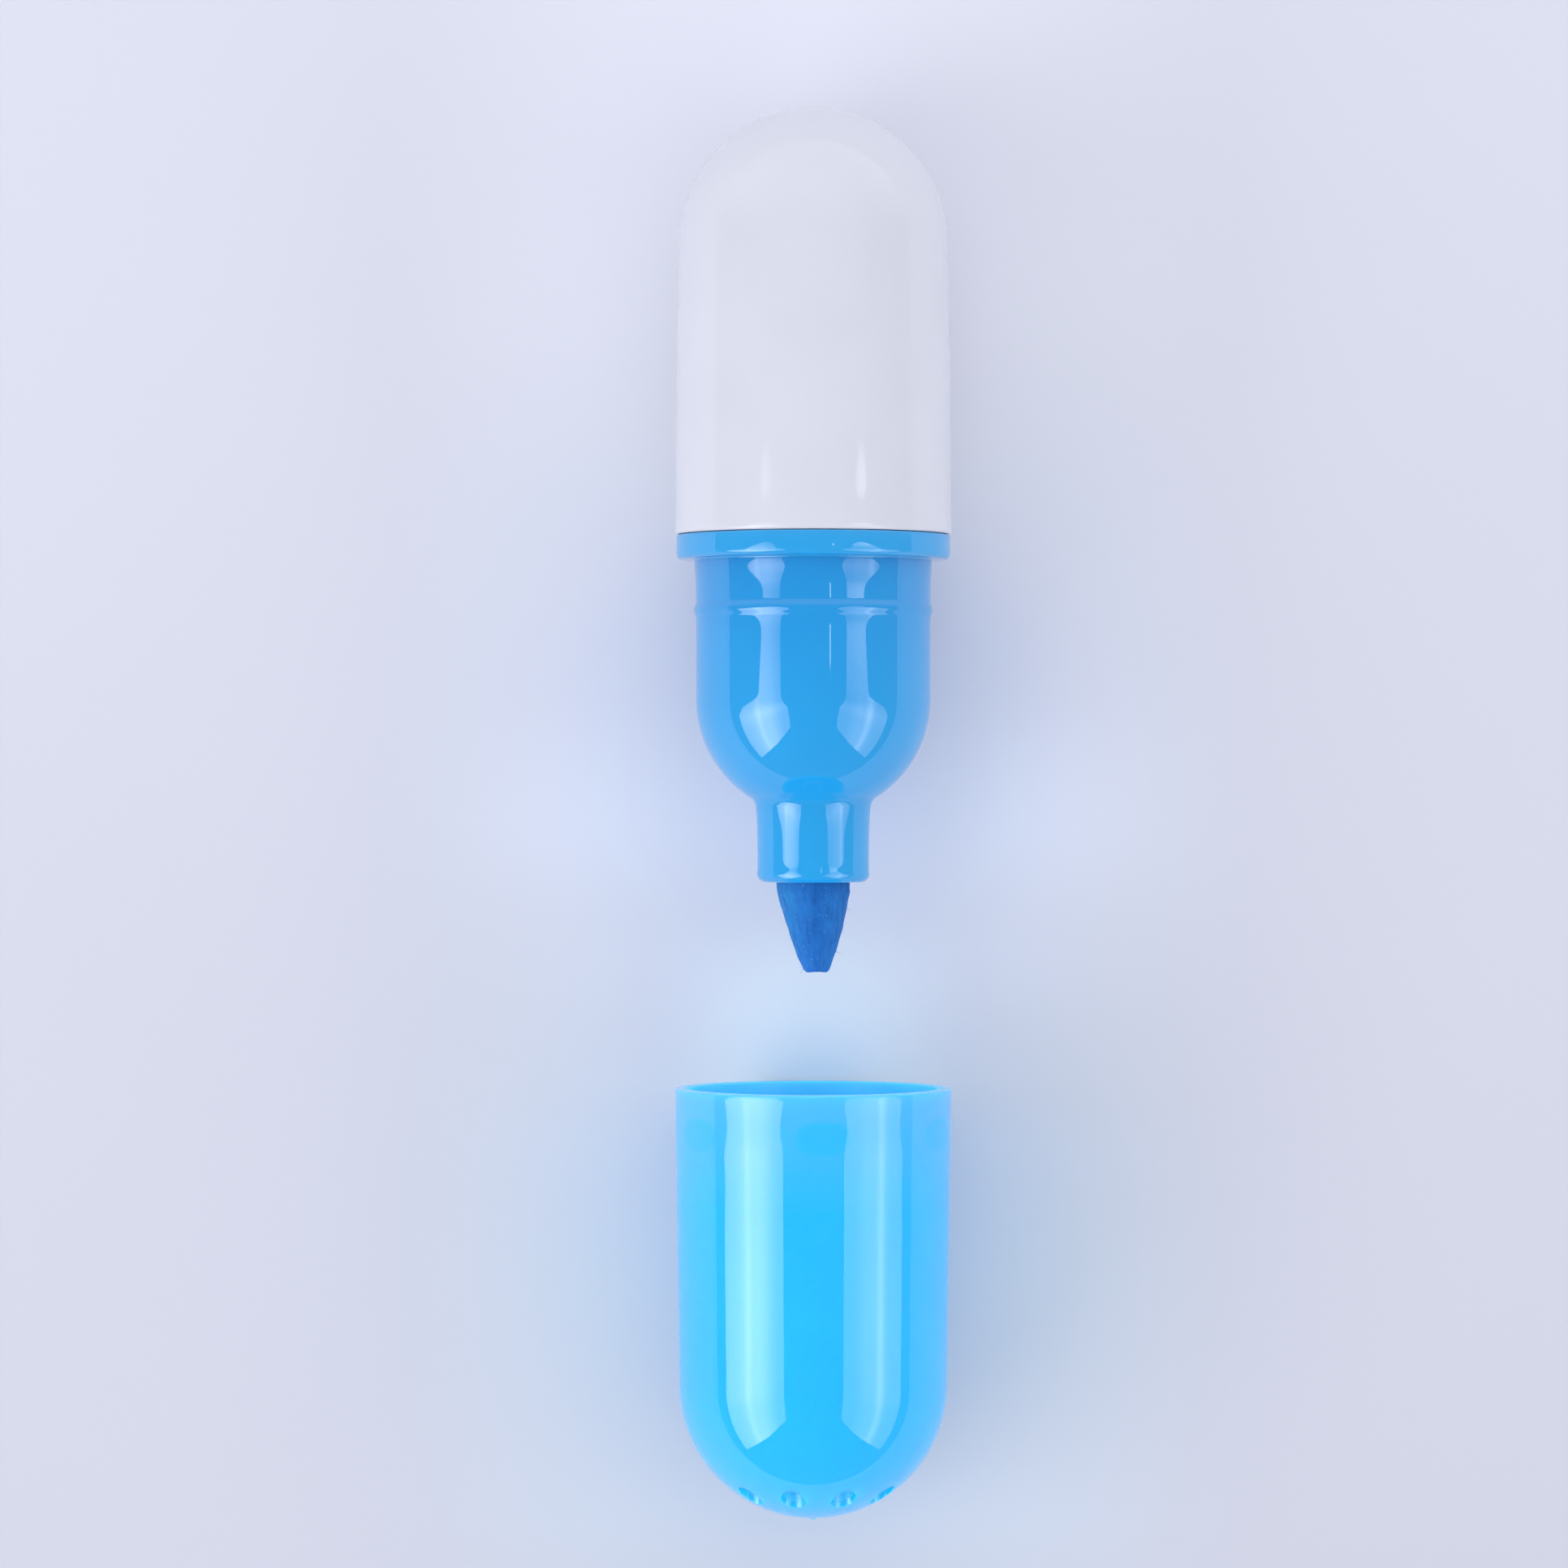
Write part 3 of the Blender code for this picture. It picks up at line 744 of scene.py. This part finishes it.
# ------------------------------------------------------------------ two large softboxes
def softbox(name, side, base, broad, broad_width, core, core_at, core_width, tip_level):
    """A tall panel beside the marker, brightest along its middle, seen only by what it lights."""
    x = 0.30 * side
    outline = [
        (0.060, 0.377), (0.056, 0.420), (0.042, 0.462), (0.012, 0.487),
        (-0.050, 0.550), (-0.095, 0.630), (-0.227, 0.662), (-0.375, 0.650),
        (-0.370, 0.300), (-0.335, 0.058), (-0.061, 0.058), (-0.031, 0.088),
        (0.022, 0.234), (0.042, 0.292), (0.056, 0.335),
    ]
    bm = bmesh.new()
    ring = [bm.verts.new((x, y, AXIS_Z + z)) for y, z in outline]
    if side > 0:
        ring.reverse()
    bm.faces.new(ring)
    bmesh.ops.triangulate(bm, faces=bm.faces)
    bm.normal_update()
    mesh = bpy.data.meshes.new(name)
    bm.to_mesh(mesh)
    bm.free()
    obj = bpy.data.objects.new(name, mesh)
    bpy.context.scene.collection.objects.link(obj)
    mat = bpy.data.materials.new(name)
    mat.use_nodes = True
    nt = mat.node_tree
    nt.nodes.clear()
    out = nt.nodes.new("ShaderNodeOutputMaterial")
    glow = nt.nodes.new("ShaderNodeEmission")
    glow.inputs["Color"].default_value = (0.985, 1.0, 1.05, 1.0)
    tc = nt.nodes.new("ShaderNodeTexCoord")
    sep = nt.nodes.new("ShaderNodeSeparateXYZ")
    nt.links.new(tc.outputs["Object"], sep.inputs[0])

    def math_node(op, a, b=None):
        n = nt.nodes.new("ShaderNodeMath")
        n.operation = op
        for i, v in enumerate((a, b)):
            if v is None:
                continue
            if isinstance(v, (int, float)):
                n.inputs[i].default_value = v
            else:
                nt.links.new(v, n.inputs[i])
        return n.outputs[0]

    total = None
    for height, at, width in ((broad, 0.25, broad_width), (core, core_at, core_width)):
        q = math_node("SUBTRACT", sep.outputs["Z"], AXIS_Z + at)
        q = math_node("DIVIDE", q, width)
        q = math_node("MULTIPLY", q, q)
        q = math_node("MULTIPLY", q, -1.0)
        e = math_node("EXPONENT", q)
        e = math_node("MULTIPLY", e, height)
        total = e if total is None else math_node("ADD", total, e)
    total = math_node("ADD", total, base)
    # Dimmer towards its +Y end.
    end = nt.nodes.new("ShaderNodeMapRange")
    end.interpolation_type = "SMOOTHSTEP"
    for socket, value in (("From Min", -0.085), ("From Max", 0.0), ("To Min", 1.0), ("To Max", 0.58)):
        end.inputs[socket].default_value = value
    nt.links.new(sep.outputs["Y"], end.inputs["Value"])
    total = math_node("MULTIPLY", total, end.outputs["Result"])
    far = nt.nodes.new("ShaderNodeMapRange")
    far.interpolation_type = "SMOOTHSTEP"
    for socket, value in (("From Min", -0.15), ("From Max", -0.07), ("To Min", 0.82), ("To Max", 1.0)):
        far.inputs[socket].default_value = value
    nt.links.new(sep.outputs["Y"], far.inputs["Value"])
    total = math_node("MULTIPLY", total, far.outputs["Result"])
    tip = nt.nodes.new("ShaderNodeMapRange")
    tip.interpolation_type = "SMOOTHSTEP"
    for socket, value in (("From Min", 0.012), ("From Max", 0.036), ("To Min", 1.0), ("To Max", tip_level)):
        tip.inputs[socket].default_value = value
    nt.links.new(sep.outputs["Y"], tip.inputs["Value"])
    total = math_node("MULTIPLY", total, tip.outputs["Result"])
    geo = nt.nodes.new("ShaderNodeNewGeometry")
    front = math_node("SUBTRACT", 1.0, geo.outputs["Backfacing"])
    total = math_node("MULTIPLY", total, front)
    nt.links.new(total, glow.inputs["Strength"])
    nt.links.new(glow.outputs[0], out.inputs["Surface"])
    mesh.materials.append(mat)
    obj.visible_camera = False
    obj.visible_shadow = False
    return obj


softbox("softbox_left", -1, 1.76, 2.40, 0.16, 1.12, 0.198, 0.024, 0.62)
softbox("softbox_right", 1, 1.32, 0.80, 0.12, 1.40, 0.188, 0.028, 2.0)



def thin_light():
    """A narrow bright gap high above, which draws the fine line down the front section."""
    bm = bmesh.new()
    corners = [(0.139, 0.022), (0.149, 0.022), (0.149, 0.050), (0.139, 0.050)]
    bm.faces.new([bm.verts.new((x, y, AXIS_Z + 0.50)) for x, y in corners])
    mesh = bpy.data.meshes.new("thin_light")
    bm.to_mesh(mesh)
    bm.free()
    obj = bpy.data.objects.new("thin_light", mesh)
    bpy.context.scene.collection.objects.link(obj)
    mat = bpy.data.materials.new("thin_light")
    mat.use_nodes = True
    mat.node_tree.nodes.clear()
    out = mat.node_tree.nodes.new("ShaderNodeOutputMaterial")
    glow = mat.node_tree.nodes.new("ShaderNodeEmission")
    glow.inputs["Strength"].default_value = 3.6
    mat.node_tree.links.new(glow.outputs[0], out.inputs["Surface"])
    mesh.materials.append(mat)
    obj.visible_camera = False
    obj.visible_shadow = False


thin_light()

AMBIENT, DIM, BACK_WALL = 1.00, 0.20, 1.35
world = bpy.data.worlds.new("studio")
bpy.context.scene.world = world
world.use_nodes = True
nt = world.node_tree
nt.nodes.clear()
out = nt.nodes.new("ShaderNodeOutputWorld")
dim = nt.nodes.new("ShaderNodeBackground")
dim.inputs["Color"].default_value = (0.93, 0.96, 1.04, 1)
tc = nt.nodes.new("ShaderNodeTexCoord")
sep = nt.nodes.new("ShaderNodeSeparateXYZ")
nt.links.new(tc.outputs["Generated"], sep.inputs[0])
back = nt.nodes.new("ShaderNodeMapRange")
back.interpolation_type = "SMOOTHSTEP"
back.inputs["From Min"].default_value = 0.05
back.inputs["From Max"].default_value = 0.80
nt.links.new(sep.outputs["Y"], back.inputs["Value"])
seen = nt.nodes.new("ShaderNodeBackground")
seen.inputs["Color"].default_value = (*PALE, 1)
seen.inputs["Strength"].default_value = 1.0
path = nt.nodes.new("ShaderNodeLightPath")
# Gloss sees a darker room than the one that fills the shadows.
fill = nt.nodes.new("ShaderNodeMapRange")
fill.inputs["To Min"].default_value = AMBIENT
fill.inputs["To Max"].default_value = DIM
nt.links.new(path.outputs["Is Glossy Ray"], fill.inputs["Value"])
nt.links.new(fill.outputs["Result"], back.inputs["To Min"])
wall = nt.nodes.new("ShaderNodeMapRange")
wall.inputs["To Min"].default_value = BACK_WALL
wall.inputs["To Max"].default_value = 0.95
nt.links.new(path.outputs["Is Glossy Ray"], wall.inputs["Value"])
nt.links.new(wall.outputs["Result"], back.inputs["To Max"])
# A little more light comes from the right.
sway = nt.nodes.new("ShaderNodeMapRange")
for socket, value in (("From Min", -1.0), ("From Max", 1.0), ("To Min", 0.90), ("To Max", 1.10)):
    sway.inputs[socket].default_value = value
nt.links.new(sep.outputs["X"], sway.inputs["Value"])
strength = nt.nodes.new("ShaderNodeMath")
strength.operation = "MULTIPLY"
nt.links.new(back.outputs["Result"], strength.inputs[0])
nt.links.new(sway.outputs["Result"], strength.inputs[1])
# More of it comes from the sides than from straight above.
rise = nt.nodes.new("ShaderNodeMapRange")
for socket, value in (("From Min", 0.0), ("From Max", 1.0), ("To Min", 1.30), ("To Max", 0.78)):
    rise.inputs[socket].default_value = value
nt.links.new(sep.outputs["Z"], rise.inputs["Value"])
level = nt.nodes.new("ShaderNodeMath")
level.operation = "MULTIPLY"
nt.links.new(strength.outputs[0], level.inputs[0])
nt.links.new(rise.outputs["Result"], level.inputs[1])
nt.links.new(level.outputs[0], dim.inputs["Strength"])
mix = nt.nodes.new("ShaderNodeMixShader")
nt.links.new(path.outputs["Is Camera Ray"], mix.inputs["Fac"])
nt.links.new(dim.outputs[0], mix.inputs[1])
nt.links.new(seen.outputs[0], mix.inputs[2])
nt.links.new(mix.outputs[0], out.inputs["Surface"])

# ------------------------------------------------------------------ camera, straight above
cam_data = bpy.data.cameras.new("camera")
camera = bpy.data.objects.new("camera", cam_data)
bpy.context.scene.collection.objects.link(camera)
CAM_UP = 0.390  # above the marker's axis
SEEN = 0.11432  # width of the view at the axis
cam_data.sensor_width = 36.0
cam_data.lens = 36.0 * CAM_UP / SEEN
camera.location = (-0.00213, (FLANGE_Y - 16.35) * MM, AXIS_Z + CAM_UP)
camera.rotation_euler = (0, 0, 0)
cam_data.clip_start, cam_data.clip_end = 0.01, 20.0
bpy.context.scene.camera = camera

bpy.context.scene.view_settings.view_transform = "Standard"
bpy.context.scene.view_settings.look = "None"
